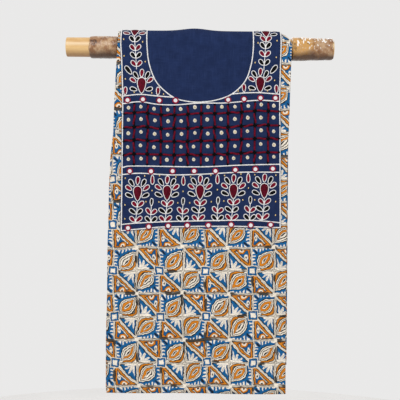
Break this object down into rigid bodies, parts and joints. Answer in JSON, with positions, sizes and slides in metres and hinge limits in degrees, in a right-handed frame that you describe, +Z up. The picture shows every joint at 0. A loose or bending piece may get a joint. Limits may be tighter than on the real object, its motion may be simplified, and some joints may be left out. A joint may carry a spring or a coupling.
{
  "type": "embroidered kalamkari cloth on a bamboo pole",
  "caption": "Block-printed cotton cloth with an embroidered, mirror-worked navy yoke, folded lengthwise and hung over a bamboo pole.",
  "frame": {"origin": "centre of the pole's left sawn end face", "axes": "+X along the pole towards its right end, +Z up, the cloth's printed and embroidered front facing -Y"},
  "size_m": [0.554, 0.0655, 0.7519],
  "materials": {
    "printed_cotton": "matt plain-weave cotton, block printed in blue, mustard and black on cream",
    "navy_cotton": "matt slub cotton with white, maroon and black thread embroidery",
    "bamboo": "satin golden bamboo, bound with crinkled clear brown film in two stretches",
    "mirror_glass": "small polished discs"
  },
  "bodies": {
    "root": {"bamboo_pole": "bamboo", "printed_cloth": "printed_cotton", "yoke_panel": "navy_cotton", "mirror_neck_1": "mirror_glass", "mirror_neck_2": "mirror_glass", "mirror_neck_3": "mirror_glass", "mirror_neck_4": "mirror_glass", "mirror_neck_5": "mirror_glass", "mirror_neck_6": "mirror_glass", "mirror_neck_7": "mirror_glass", "mirror_neck_8": "mirror_glass", "mirror_chest_1": "mirror_glass", "mirror_chest_2": "mirror_glass", "mirror_chest_3": "mirror_glass", "mirror_chest_4": "mirror_glass", "mirror_chest_5": "mirror_glass", "mirror_chest_6": "mirror_glass", "mirror_chest_7": "mirror_glass", "mirror_chest_8": "mirror_glass", "mirror_hem_1": "mirror_glass", "mirror_hem_2": "mirror_glass", "mirror_hem_3": "mirror_glass", "mirror_hem_4": "mirror_glass", "mirror_hem_5": "mirror_glass", "mirror_hem_6": "mirror_glass", "mirror_hem_7": "mirror_glass", "mirror_hem_8": "mirror_glass"}
  },
  "joints": []
}
